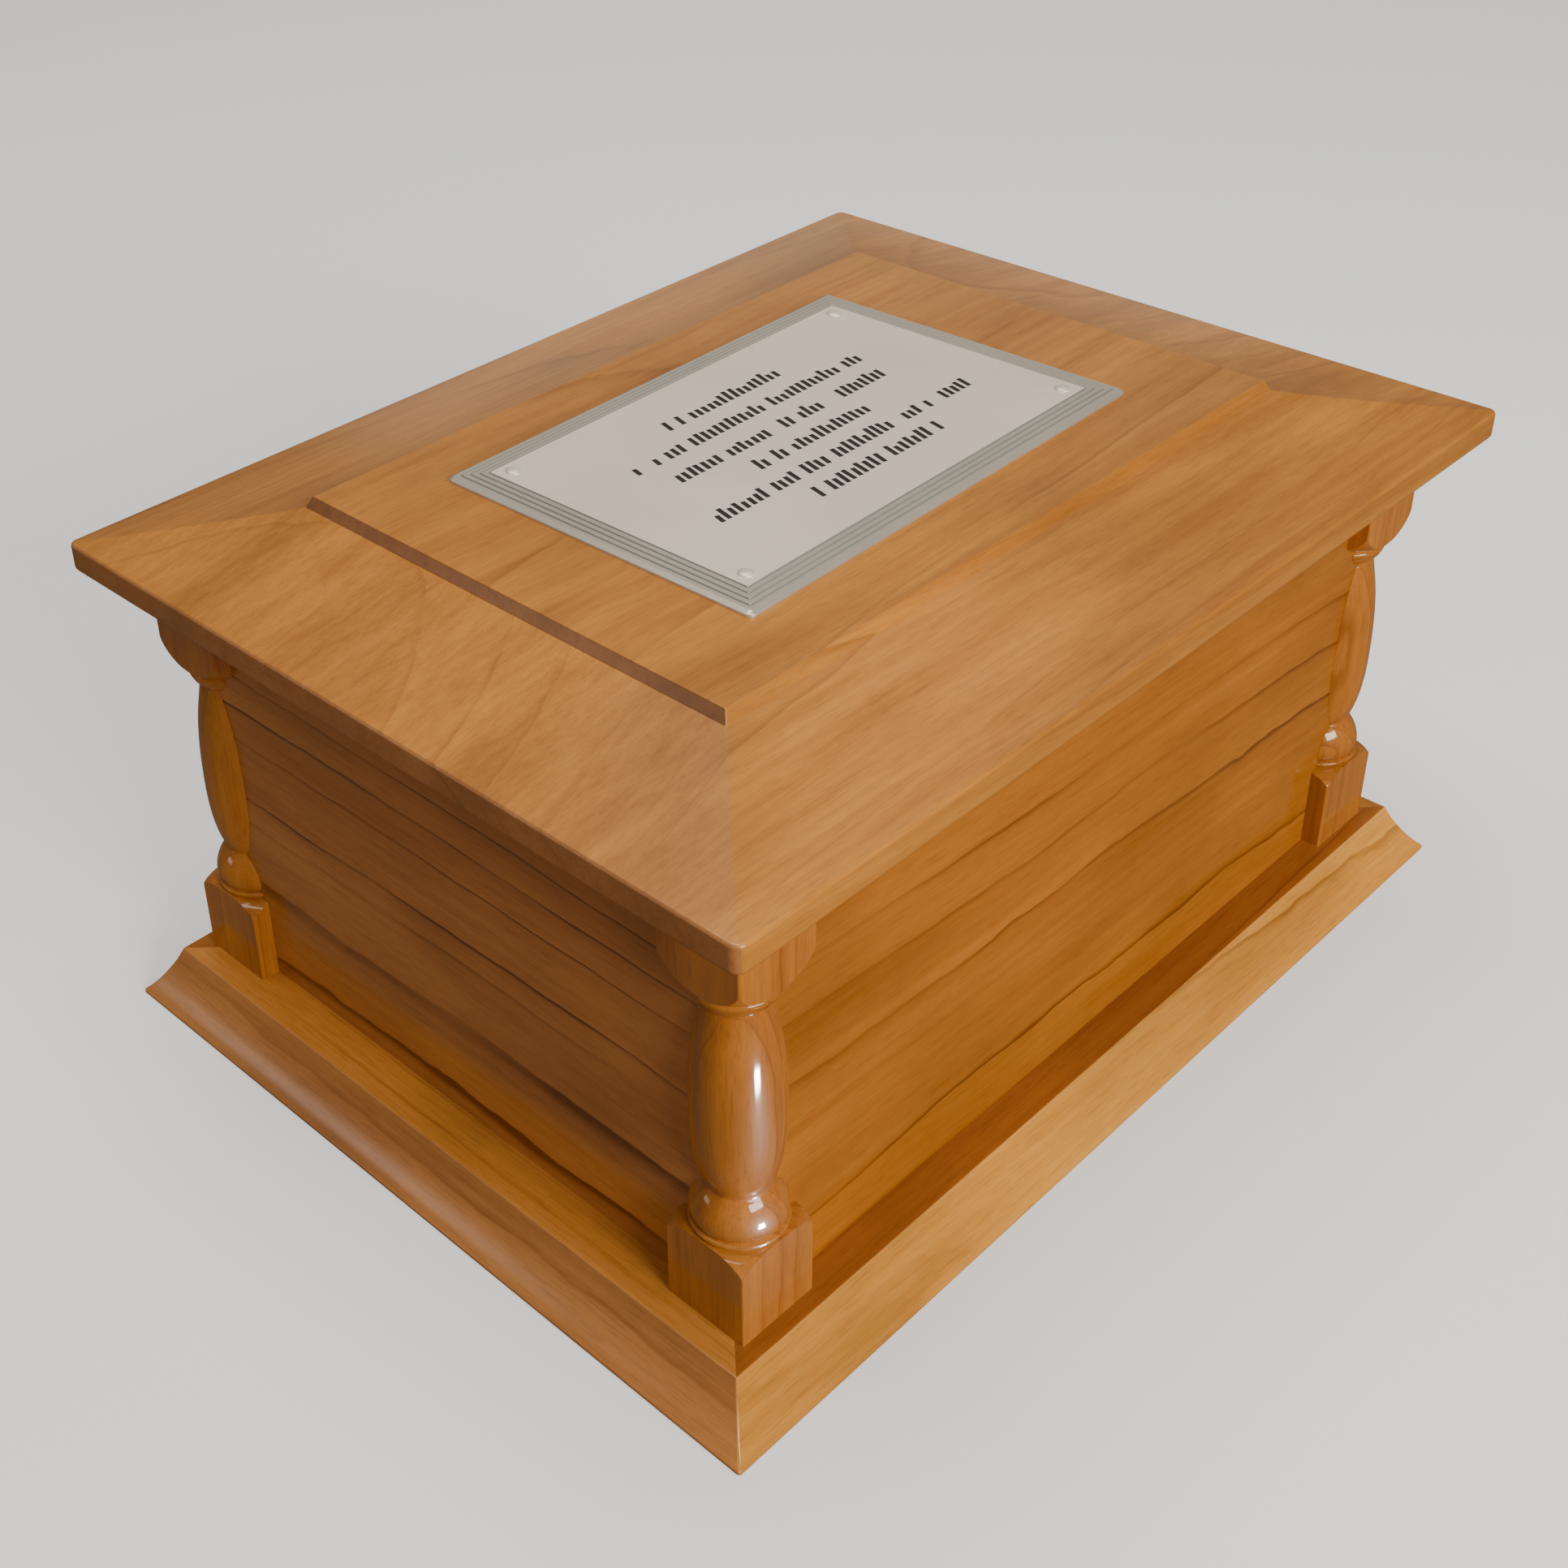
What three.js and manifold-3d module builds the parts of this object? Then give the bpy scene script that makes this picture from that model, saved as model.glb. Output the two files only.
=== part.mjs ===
// A wooden cremation urn box: a moulded base, four walls, four turned corner columns,
// a lift-off lid with a raised field, and a small metal plaque held by four pins.
// Millimetres, +Z up. The origin is the middle of the underside. The front is at -Y.

import * as THREE from 'three';
import { mergeVertices } from 'three/addons/utils/BufferGeometryUtils.js';
import Module from 'manifold-3d';

const wasm = await Module();
wasm.setup();

// The hollow inside, and the boards around it
const cavityLength = 206.2;
const cavityDepth = 148;
const wallHeight = 107.8;
const wallThickness = 10;

// Corner columns, turned from square stock
const columnSide = 20.6;
const columnProud = 4.8;
const columnFit = 0.3;
const columnSides = 24;

// Base board, with a flat ledge, a small steep shoulder and a hollow flare
const baseHeight = 13.8;
const ledgeAtEnds = 6.3;
const ledgeAtFront = 3.9;
const baseShoulderRun = 1.5;
const baseShoulderDrop = 3.4;
const baseFlareRun = 6.8;
const baseFlareHollow = 0.9;
const baseLipHeight = 0.8;
const baseCornerRadius = 1.5;
const baseFlareSteps = 5;

// Lid, with a raised field inside a small steep shoulder and a wide sloping border
const lidOverhangAtEnds = 12.1;
const lidOverhangAtFront = 11.2;
const lidEdgeHeight = 6.8;
const lidEdgeRounding = 0.8;
const lidCornerRadius = 3.5;
const lidBorderWidth = 37.8;
const lidBorderRise = 7;
const lidBorderHollow = 0.5;
const lidBorderSteps = 4;
const lidShoulderRun = 1.3;
const lidShoulderRise = 2.6;
const lidStepDepth = 3;
const lidStepClearance = 0.6;

// Heights of the turned parts of a column, from the base upwards
const plinthHeight = 21.2;
const plinthRounding = 4;
const filletHeight = 1.6;
const bulbHeight = 9.2;
const vaseLowerHeight = 18.5;
const grooveHeight = 0.6;
const ringHeight = 4.2;
const collarHeight = 1.8;
const capRise = 9.3;
const capBlockHeight = 17.5;

// How deep each turned part is cut below the faces of the stock
const filletDepth = 0.4;
const coveDepth = 1;
const waistDepth = 3.4;
const vaseDepth = 0.7;
const grooveDepth = 3.8;
const ringDepth = 1.6;
const collarDepth = 1.8;

// How full the turned curves are, as shares of each curve's own height
const bulbLowerFullness = 0.24;
const bulbUpperTaper = 0.26;
const vaseLowerTaper = 0.2;
const vaseLowerFullness = 0.5;
const vaseUpperFullness = 0.4;
const vaseUpperTaper = 0.25;

// How far the bulb swells, the vase flares at both ends and the cap eases in
const bulbSwell = 2;
const vaseFlare = 1.5;
const vaseShoulder = 2.3;
const capEase = 2.6;

const stockCornerCover = 0.5;
const turnedCurveSteps = 6;
const cutMargin = 1;

// Plaque, fixed a little out of square as the real one is
const plaqueLength = 130;
const plaqueDepth = 88;
const plaqueCornerRadius = 2.2;
const plaqueTurn = THREE.MathUtils.degToRad(1.2);
const plaqueCentreX = -1.2;
const plaqueCentreY = 1.6;
const plaqueEdgeHeight = 0.6;
const plaqueBevelRun = 1.3;
const plaqueBevelRise = 0.6;
const plaqueBorderWidth = 2.4;
const plaqueStepRun = 0.5;
const plaqueStepRise = 0.3;
const plaqueSteps = 2;

// Pins that hold the plaque
const pinInset = 10.4;
const pinHeadRadius = 1.8;
const pinHeadRise = 0.6;
const pinShankRadius = 0.8;
const pinShankLength = 6;
const pinHoleClearance = 0.3;
const pinSides = 12;
const pinDomeSteps = 3;

const bodyLength = cavityLength + 2 * wallThickness;
const bodyDepth = cavityDepth + 2 * wallThickness;
const columnX = bodyLength / 2 + columnProud - columnSide / 2;
const columnY = bodyDepth / 2 + columnProud - columnSide / 2;
const lidUnderside = baseHeight + wallHeight;
const lidLength = bodyLength + 2 * (columnProud + lidOverhangAtEnds);
const lidDepth = bodyDepth + 2 * (columnProud + lidOverhangAtFront);
const fieldHeight = lidUnderside + lidEdgeHeight + lidBorderRise + lidShoulderRise;
const plaqueThickness = plaqueEdgeHeight + plaqueBevelRise + plaqueSteps * plaqueStepRise;

// Closed meshes become solids for cutting and joining, and come back as geometry
function toSolid(geometry) {
  const bare = geometry.clone();
  for (const name of Object.keys(bare.attributes)) {
    if (name !== 'position') bare.deleteAttribute(name);
  }
  const merged = mergeVertices(bare);
  return new wasm.Manifold(new wasm.Mesh({
    numProp: 3,
    vertProperties: new Float32Array(merged.attributes.position.array),
    triVerts: new Uint32Array(merged.index.array),
  }));
}

function toGeometry(solid) {
  const mesh = solid.getMesh();
  const geometry = new THREE.BufferGeometry();
  geometry.setAttribute('position', new THREE.BufferAttribute(mesh.vertProperties, 3));
  geometry.setIndex(new THREE.BufferAttribute(mesh.triVerts, 1));
  geometry.computeVertexNormals();
  return geometry;
}

// A board with mitred corners: one rectangle of half sizes x and y for each level
function mitredBoard(levels) {
  const corners = [[-1, -1], [1, -1], [1, 1], [-1, 1]];
  const positions = levels.flatMap(({ x, y, z }) => corners.flatMap(([sx, sy]) => [sx * x, sy * y, z]));
  const index = [0, 2, 1, 0, 3, 2];
  for (let level = 0; level + 1 < levels.length; level += 1) {
    for (let side = 0; side < 4; side += 1) {
      const a = 4 * level + side;
      const b = 4 * level + (side + 1) % 4;
      index.push(a, b, b + 4, a, b + 4, a + 4);
    }
  }
  const top = 4 * (levels.length - 1);
  index.push(top, top + 1, top + 2, top, top + 2, top + 3);
  const geometry = new THREE.BufferGeometry();
  geometry.setAttribute('position', new THREE.Float32BufferAttribute(positions, 3));
  geometry.setIndex(index);
  geometry.computeVertexNormals();
  return geometry;
}

function roundedRectangle(length, depth, radius) {
  const x = length / 2;
  const y = depth / 2;
  const shape = new THREE.Shape();
  shape.absarc(x - radius, y - radius, radius, 0, Math.PI / 2);
  shape.absarc(radius - x, y - radius, radius, Math.PI / 2, Math.PI);
  shape.absarc(radius - x, radius - y, radius, Math.PI, 1.5 * Math.PI);
  shape.absarc(x - radius, radius - y, radius, 1.5 * Math.PI, 2 * Math.PI);
  shape.closePath();
  return shape;
}

function extruded(shape, low, high, curveSegments = 4) {
  const geometry = new THREE.ExtrudeGeometry(shape, {
    depth: high - low,
    bevelEnabled: false,
    curveSegments,
  });
  return geometry.translate(0, 0, low);
}

function box(lowX, highX, lowY, highY, lowZ, highZ) {
  const geometry = new THREE.BoxGeometry(highX - lowX, highY - lowY, highZ - lowZ);
  return geometry.translate((lowX + highX) / 2, (lowY + highY) / 2, (lowZ + highZ) / 2);
}

// The mitred board is cut to a plan with rounded corners
function withRoundedCorners(board, length, depth, radius, low, high) {
  const plan = extruded(roundedRectangle(length, depth, radius), low, high);
  return toSolid(board).intersect(toSolid(plan));
}

function makeBaseBoard() {
  const ledgeX = bodyLength / 2 + columnProud + ledgeAtEnds;
  const ledgeY = bodyDepth / 2 + columnProud + ledgeAtFront;
  const outwards = (run, z) => ({ x: ledgeX + run, y: ledgeY + run, z });
  const fullRun = baseShoulderRun + baseFlareRun;
  const shoulderFoot = baseHeight - baseShoulderDrop;
  const levels = [outwards(fullRun, 0)];
  for (let step = 0; step <= baseFlareSteps; step += 1) {
    const t = step / baseFlareSteps;
    const hollow = 4 * baseFlareHollow * t * (1 - t);
    levels.push(outwards(fullRun - baseFlareRun * t, THREE.MathUtils.lerp(baseLipHeight, shoulderFoot, t) - hollow));
  }
  levels.push(outwards(0, baseHeight));
  const length = 2 * (ledgeX + fullRun);
  const depth = 2 * (ledgeY + fullRun);
  return toGeometry(withRoundedCorners(mitredBoard(levels), length, depth, baseCornerRadius, 0, baseHeight));
}

// The walls are mitred on the inside, and stop square at the middle of each column
function makeWall(length, depth) {
  const inside = depth / 2 - wallThickness;
  const mitre = columnSide / 2 - columnProud;
  const end = length / 2 - mitre;
  const innerEnd = length / 2 - wallThickness;
  const shape = new THREE.Shape([
    new THREE.Vector2(-end, -depth / 2),
    new THREE.Vector2(end, -depth / 2),
    new THREE.Vector2(end, mitre - depth / 2),
    new THREE.Vector2(innerEnd, -inside),
    new THREE.Vector2(-innerEnd, -inside),
    new THREE.Vector2(-end, mitre - depth / 2),
  ]);
  return extruded(shape, baseHeight, lidUnderside);
}

// Half outline of a column as it is turned, from the axis at the bottom to the axis at the top.
// The blocks reach past the corners of the stock, so they stay square.
function columnOutline() {
  const face = columnSide / 2;
  const block = face * Math.SQRT2 + stockCornerCover;
  const waist = face - waistDepth;
  const cove = face - coveDepth;
  const vase = face - vaseDepth;
  const groove = face - grooveDepth;
  const ring = face - ringDepth;
  const collar = face - collarDepth;

  const filletTop = plinthHeight + filletHeight;
  const bulbTop = filletTop + bulbHeight;
  const capTop = wallHeight - capBlockHeight;
  const collarTop = capTop - capRise;
  const ringTop = collarTop - collarHeight;
  const ringFoot = ringTop - ringHeight;
  const vaseTop = ringFoot - grooveHeight;
  const vaseMiddle = bulbTop + vaseLowerHeight;
  const vaseUpperHeight = vaseTop - vaseMiddle;

  const path = new THREE.Path();
  path.moveTo(0, 0);
  path.lineTo(block, 0);
  path.lineTo(block, plinthHeight - plinthRounding);
  path.quadraticCurveTo(block, plinthHeight, face, plinthHeight);
  path.lineTo(cove, plinthHeight);
  path.lineTo(face - filletDepth, plinthHeight + filletHeight / 2);
  path.lineTo(cove, filletTop);
  path.bezierCurveTo(
    cove + bulbSwell, filletTop + bulbHeight * bulbLowerFullness,
    waist + bulbSwell, bulbTop - bulbHeight * bulbUpperTaper,
    waist, bulbTop);
  path.bezierCurveTo(
    waist + vaseFlare, bulbTop + vaseLowerHeight * vaseLowerTaper,
    vase, vaseMiddle - vaseLowerHeight * vaseLowerFullness,
    vase, vaseMiddle);
  path.bezierCurveTo(
    vase, vaseMiddle + vaseUpperHeight * vaseUpperFullness,
    groove + vaseShoulder, vaseTop - vaseUpperHeight * vaseUpperTaper,
    groove, vaseTop);
  path.lineTo(groove, ringFoot);
  path.bezierCurveTo(ring, ringFoot, ring, ringTop, groove, ringTop);
  path.lineTo(collar, ringTop);
  path.lineTo(collar, collarTop);
  path.quadraticCurveTo(block - capEase, collarTop + capRise / 2, block, capTop);
  path.lineTo(block, wallHeight);
  path.lineTo(0, wallHeight);
  return path.getPoints(turnedCurveSteps);
}

// Square stock, turned round, and rebated to sit over the corner where two walls meet
function makeColumn() {
  const face = columnSide / 2;
  const turned = new THREE.LatheGeometry(columnOutline(), columnSides);
  turned.rotateX(Math.PI / 2);
  turned.rotateZ(Math.PI / columnSides);
  const stock = box(-face, face, -face, face, 0, wallHeight);
  const near = -columnFit;
  const wall = columnProud - face - columnFit;
  const far = columnSide;
  const low = -cutMargin;
  const high = wallHeight + cutMargin;
  return toSolid(turned)
    .intersect(toSolid(stock))
    .subtract(toSolid(box(near, far, wall, far, low, high)))
    .subtract(toSolid(box(wall, far, near, far, low, high)));
}

// Pin positions in the plaque's own frame
const pinPlaces = [-1, 1].flatMap((sx) => [-1, 1].map((sy) => ({
  name: `plaque_pin_${sy < 0 ? 'front' : 'back'}_${sx < 0 ? 'left' : 'right'}`,
  x: sx * (plaqueLength / 2 - pinInset),
  y: sy * (plaqueDepth / 2 - pinInset),
})));

function pinHole(place, low, high) {
  const hole = new THREE.CylinderGeometry(
    pinShankRadius + pinHoleClearance,
    pinShankRadius + pinHoleClearance,
    high - low,
    pinSides,
  );
  return hole.rotateX(Math.PI / 2).translate(place.x, place.y, (low + high) / 2);
}

function makeLid() {
  const x = lidLength / 2;
  const y = lidDepth / 2;
  const inwards = (run, z) => ({ x: x - run, y: y - run, z });
  const edgeTop = lidUnderside + lidEdgeHeight;
  const levels = [
    inwards(lidEdgeRounding, lidUnderside),
    inwards(0, lidUnderside + lidEdgeRounding),
    inwards(0, edgeTop - lidEdgeRounding / 2),
    inwards(lidEdgeRounding / 2, edgeTop),
  ];
  for (let step = 1; step <= lidBorderSteps; step += 1) {
    const t = step / lidBorderSteps;
    const hollow = 4 * lidBorderHollow * t * (1 - t);
    levels.push(inwards(lidBorderWidth * t, edgeTop + lidBorderRise * t - hollow));
  }
  levels.push(inwards(lidBorderWidth + lidShoulderRun, fieldHeight));
  const stepX = cavityLength / 2 - lidStepClearance;
  const stepY = cavityDepth / 2 - lidStepClearance;
  const step = box(-stepX, stepX, -stepY, stepY, lidUnderside - lidStepDepth, lidUnderside + cutMargin);
  let lid = withRoundedCorners(mitredBoard(levels), lidLength, lidDepth, lidCornerRadius, lidUnderside, fieldHeight)
    .add(toSolid(step));
  const holeBottom = plaqueThickness - pinShankLength - pinHoleClearance;
  for (const place of pinPlaces) {
    const hole = pinHole(place, holeBottom, plaqueThickness)
      .rotateZ(plaqueTurn)
      .translate(plaqueCentreX, plaqueCentreY, fieldHeight);
    lid = lid.subtract(toSolid(hole));
  }
  return toGeometry(lid);
}

function makePlaque() {
  const inwards = (run, z) => ({ x: plaqueLength / 2 - run, y: plaqueDepth / 2 - run, z });
  const levels = [inwards(0, 0), inwards(0, plaqueEdgeHeight)];
  let run = plaqueBevelRun;
  let z = plaqueEdgeHeight + plaqueBevelRise;
  levels.push(inwards(run, z));
  for (let step = 0; step < plaqueSteps; step += 1) {
    run += plaqueBorderWidth;
    levels.push(inwards(run, z));
    run += plaqueStepRun;
    z += plaqueStepRise;
    levels.push(inwards(run, z));
  }
  let plaque = withRoundedCorners(
    mitredBoard(levels), plaqueLength, plaqueDepth, plaqueCornerRadius, 0, plaqueThickness);
  for (const place of pinPlaces) {
    plaque = plaque.subtract(toSolid(pinHole(place, -cutMargin, plaqueThickness + cutMargin)));
  }
  return toGeometry(plaque);
}

// A low domed head on a plain shank, standing on the plaque's face
function makePin() {
  const outline = [[0, -pinShankLength], [pinShankRadius, -pinShankLength], [pinShankRadius, 0]];
  for (let step = 0; step <= pinDomeSteps; step += 1) {
    const turn = Math.PI / 2 * step / pinDomeSteps;
    outline.push([pinHeadRadius * Math.cos(turn), pinHeadRise * Math.sin(turn)]);
  }
  outline[outline.length - 1][0] = 0;
  const points = outline.map(([radius, height]) => new THREE.Vector2(radius, height));
  return new THREE.LatheGeometry(points, pinSides).rotateX(Math.PI / 2);
}

function varnishedWood(color) {
  return new THREE.MeshStandardMaterial({ color, roughness: 0.3, metalness: 0 });
}

function satinMetal(color, roughness) {
  return new THREE.MeshStandardMaterial({ color, roughness, metalness: 0.9 });
}

function named(name, geometry, material) {
  const mesh = new THREE.Mesh(geometry, material);
  mesh.name = name;
  return mesh;
}

const urn = new THREE.Group();
urn.add(named('base_board', makeBaseBoard(), varnishedWood(0xa8672c)));

urn.add(named('front_wall', makeWall(bodyLength, bodyDepth), varnishedWood(0xa96a2e)));
const backWall = named('back_wall', makeWall(bodyLength, bodyDepth), varnishedWood(0xa4652b));
backWall.rotation.z = Math.PI;
urn.add(backWall);
const leftWall = named('left_wall', makeWall(bodyDepth, bodyLength), varnishedWood(0x9c5e2a));
leftWall.rotation.z = -Math.PI / 2;
urn.add(leftWall);
const rightWall = named('right_wall', makeWall(bodyDepth, bodyLength), varnishedWood(0xa2642c));
rightWall.rotation.z = Math.PI / 2;
urn.add(rightWall);

const column = makeColumn();
const columnCorners = [
  ['front_left_column', -1, -1, 0],
  ['front_right_column', 1, -1, Math.PI / 2],
  ['back_right_column', 1, 1, Math.PI],
  ['back_left_column', -1, 1, 1.5 * Math.PI],
];
for (const [name, sx, sy, turn] of columnCorners) {
  const mesh = named(name, toGeometry(column), varnishedWood(0xb0702f));
  mesh.rotation.z = turn;
  mesh.position.set(sx * columnX, sy * columnY, baseHeight);
  urn.add(mesh);
}

urn.add(named('lid', makeLid(), varnishedWood(0xb5763a)));

const plaqueGroup = new THREE.Group();
plaqueGroup.rotation.z = plaqueTurn;
plaqueGroup.position.set(plaqueCentreX, plaqueCentreY, fieldHeight);
plaqueGroup.add(named('plaque', makePlaque(), satinMetal(0xc4bdb0, 0.45)));
for (const place of pinPlaces) {
  const pin = named(place.name, makePin(), satinMetal(0xb8b8b2, 0.3));
  pin.position.set(place.x, place.y, plaqueThickness);
  plaqueGroup.add(pin);
}
urn.add(plaqueGroup);

export default urn;
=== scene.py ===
import math

import bpy
from mathutils import Matrix, Vector


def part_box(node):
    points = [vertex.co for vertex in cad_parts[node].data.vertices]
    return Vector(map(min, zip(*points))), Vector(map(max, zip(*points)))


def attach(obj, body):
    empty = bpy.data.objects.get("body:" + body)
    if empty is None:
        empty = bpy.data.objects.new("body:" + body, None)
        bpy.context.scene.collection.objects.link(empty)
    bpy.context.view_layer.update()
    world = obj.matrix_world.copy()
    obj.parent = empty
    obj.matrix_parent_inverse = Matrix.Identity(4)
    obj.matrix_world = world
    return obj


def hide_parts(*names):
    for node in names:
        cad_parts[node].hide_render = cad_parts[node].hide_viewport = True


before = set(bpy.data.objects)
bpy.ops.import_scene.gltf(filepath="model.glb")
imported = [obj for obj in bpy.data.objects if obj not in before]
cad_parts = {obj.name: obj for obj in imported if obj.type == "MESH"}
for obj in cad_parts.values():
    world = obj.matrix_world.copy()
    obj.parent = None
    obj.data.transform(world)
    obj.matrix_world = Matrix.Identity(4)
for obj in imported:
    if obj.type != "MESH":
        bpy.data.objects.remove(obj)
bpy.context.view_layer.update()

# A wooden cremation urn box: moulded base, plain walls, four turned corner columns,
# a lift-off lid with a raised field, and a metal plaque held by four pins.
# Metres, as in the frame. The front is at -Y, and the camera stands over the front left corner.

MM = 0.001

# The point that the lights face, half way up the box
MIDDLE = Vector((0, 0, 70 * MM))

# The photograph's frame, and the camera that fits it
PHOTO_PIXELS = 1932
FOCAL_PIXELS = 2629.8
OPTICAL_CENTRE = (764.9, 750.8)
SENSOR_WIDTH = 36.0
CAMERA_PLACE = Vector((-0.32266, -0.28118, 0.35438))
CAMERA_RIGHT = Vector((0.71189819, -0.70122934, -0.03844971))
CAMERA_DOWN = Vector((-0.38868035, -0.34781123, -0.85320275))
CAMERA_FORWARD = Vector((0.58491756, 0.62233814, -0.52016025))

# Base board
BASE_SHOULDER_RUN = 1.5 * MM
BASE_SHOULDER_DROP = 3.4 * MM
BASE_FLARE_RUN = 6.8 * MM
BASE_FLARE_HOLLOW = 0.9 * MM
BASE_LIP = 0.8 * MM
BASE_EASE = 0.45 * MM
BASE_TIP_CORNER = 0.7 * MM
BASE_ARRIS = 0.35 * MM
BASE_LEDGE = 14.0 * MM
BASE_FLARE_STEPS = 10

# Lid
LID_EDGE = 6.8 * MM
LID_BORDER = 37.8 * MM
LID_BORDER_RISE = 7.0 * MM
LID_BORDER_HOLLOW = 0.5 * MM
LID_BORDER_STEPS = 14
LID_SHOULDER_RUN = 1.3 * MM
LID_LOWER_EASE = 1.3 * MM
LID_UPPER_EASE = 0.8 * MM
LID_SHOULDER_EASE = 0.3 * MM
LID_CORNER = 2.4 * MM
LID_ARRIS = 0.3 * MM
LID_CORNER_FADE = 1.6 * MM
LID_STEP_DEPTH = 3.0 * MM
LID_STEP_LENGTH = 205.0 * MM
LID_STEP_WIDTH = 146.8 * MM
LID_END_SLOT = 1
# The shoulder's end grain takes a darker copy of the end grain: painted shade
LID_SHADED_SHOULDER_SLOT = 2

# Columns
COLUMN_FIT = 0.05 * MM
COLUMN_PROUD = 4.8 * MM
COLUMN_ARRIS = 0.45 * MM

# The column's turned profile from the bottom up, as (radius, height) in millimetres. The block's radius
# reaches past the corners of the square stock. Each curve starts where the one before it ends, and has
# two guiding points, an end point and a number of steps.
BLOCK = 15.1
PLINTH_TOP = (BLOCK, 17.0)
COLUMN_CURVES = (
    ((14.9, 18.9), (12.6, 21.0), (10.3, 21.3), 12),   # plinth's hollow shoulder
    ((9.3, 21.35), (9.2, 21.6), (9.5, 21.7), 3),      # groove
    ((10.5, 21.9), (10.4, 22.8), (9.4, 22.9), 8),     # thin bead
    ((9.3, 22.93), (9.2, 22.97), (9.1, 23.0), 1),     # bulb's seat
    ((11.3, 25.0), (9.2, 29.9), (7.0, 31.9), 20),     # bulb
    ((6.8, 32.1), (6.8, 32.3), (7.0, 32.6), 4),       # lower neck
    ((8.4, 35.8), (9.6, 41.2), (9.6, 50.5), 24),      # lower half of the shaft
    ((9.6, 60.0), (9.1, 67.0), (7.8, 73.2), 24),      # upper half of the shaft
    ((7.5, 74.7), (7.3, 76.0), (7.0, 77.2), 6),       # shaft's end
    ((6.8, 77.7), (6.5, 78.0), (6.6, 78.4), 4),       # upper neck
    ((7.2, 79.0), (8.2, 79.6), (8.5, 80.8), 8),       # underside of the upper bead
    ((8.9, 81.4), (9.0, 82.0), (8.5, 82.4), 6),       # upper bead
    ((8.1, 82.6), (8.2, 82.9), (8.6, 83.1), 4),       # fine groove
    ((9.9, 83.8), (13.4, 85.7), (14.6, 90.2), 20),    # cap
    ((14.7, 91.0), (14.9, 91.9), (BLOCK, 92.8), 3),   # foot of the top block
)

# Plaque, in its own frame before it is turned
PLAQUE_LENGTH = 130.0 * MM
PLAQUE_WIDTH = 88.0 * MM
PLAQUE_TURN = math.radians(1.2)
PLAQUE_CENTRE = Vector((-1.2 * MM, 1.6 * MM, 138.0 * MM))
PLAQUE_CORNER = 1.6 * MM
PLAQUE_INNER_CORNER = 0.25 * MM
PLAQUE_EDGE = 0.6 * MM
PLAQUE_EASE = 0.15 * MM
PLAQUE_BEVEL_RUN = 1.0 * MM
PLAQUE_BEVEL_RISE = 0.6 * MM
PLAQUE_BAND = 1.05 * MM
PLAQUE_GROOVE = 0.4 * MM
PLAQUE_GROOVE_DEPTH = 0.2 * MM
PLAQUE_BAND_RISE = 0.15 * MM
PLAQUE_BANDS = 4
PLAQUE_FACE_SLOT = 0
PLAQUE_RIM_SLOT = 1
# The border's grooves take a darker metal: painted shade
PLAQUE_SHADED_GROOVE_SLOT = 2
PIN_INSET = 10.4 * MM
PIN_RADIUS = 1.8 * MM
PIN_RISE = 0.6 * MM
PIN_SIDES = 28

# A pin's shank and seat, as shares of its head's radius and rise, and the angles where its dome has a ring
PIN_SHANK = 0.45
PIN_SHANK_DEPTH = 5.0
PIN_SEAT = 0.02
PIN_DOME_ANGLES = (0.15, 0.4, 0.7, 1.0, 1.25, 1.45)

# Rows of strokes that stand for the inscription: left end, right end and height on the plaque
STROKE_ROWS = (
    (-18.0 * MM, 18.6 * MM, 23.0 * MM),
    (-38.0 * MM, 37.3 * MM, 13.6 * MM),
    (-34.3 * MM, 34.3 * MM, 4.2 * MM),
    (-18.8 * MM, 17.5 * MM, -4.8 * MM),
    (-41.9 * MM, 42.7 * MM, -13.9 * MM),
    (-19.9 * MM, 21.1 * MM, -22.6 * MM),
)
STROKE_HEIGHT = 5.0 * MM
STROKE_SETTINGS = {
    "Pitch": 2.0 * MM,
    "Height": STROKE_HEIGHT,
    "Thickness": 1.2 * MM,
    "Depth": 0.12 * MM,
    "Shortest": 0.58,
    "Least Lean": 0.22,
    "Most Lean": 0.3,
    "Kept Share": 0.86,
    "Seed": 11,
}

# Wood: how far its rings drift (in rings) and how quickly, how much their lines tremble, and its relief
RING_DRIFT = 1.8
RING_DRIFT_PACE = 0.6
RING_TREMBLE = 1.2 * MM
RING_COLOUR = (0.17, 0.044, 0.004, 1)
GRAIN_RELIEF = 0.06 * MM
GRAIN_BUMP = 0.35

# Brushed metal
BRUSHING_RELIEF = 0.01 * MM
BRUSHING_BUMP = 0.2

# Studio. The floor and the world look paler than the light that they throw on the box.
FLOOR_HALF = 6
FLOOR_SEEN = (0.88, 0.92, 0.96, 1)
FLOOR_REFLECTED = (0.22, 0.165, 0.11, 1)
FLOOR_GLOW = 0.3
WORLD_SEEN = (0.72, 0.72, 0.72, 1)
WORLD_LIGHT = (0.15, 0.135, 0.117, 1)

# Name, azimuth, elevation, distance, width, height, power and colour
SOFT_LIGHTS = (
    ("front light", -98, 24, 1.5, 0.8, 0.45, 23, (1.0, 0.94, 0.84)),
    ("overhead", 100, 82, 1.5, 1.0, 1.0, 15, (1.0, 0.94, 0.86)),
    ("back sheen", 42, 15, 1.8, 1.2, 0.35, 1.1, (1.0, 0.86, 0.66)),
    ("left sheen", 144, 9, 1.6, 0.4, 0.25, 0.9, (1.0, 0.86, 0.75)),
    ("top sheen", 30, 47, 1.7, 0.8, 0.3, 0.5, (1.0, 0.9, 0.78)),
)
GLINT_PLACE = (-0.115, -0.185, 0.010)
GLINT_TARGET = (-0.1076, -0.0785, 0.05)
GLINT_WIDTH = 0.022
GLINT_HEIGHT = 0.02
GLINT_POWER = 0.05
GLINT_SPREAD = math.radians(36)


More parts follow.
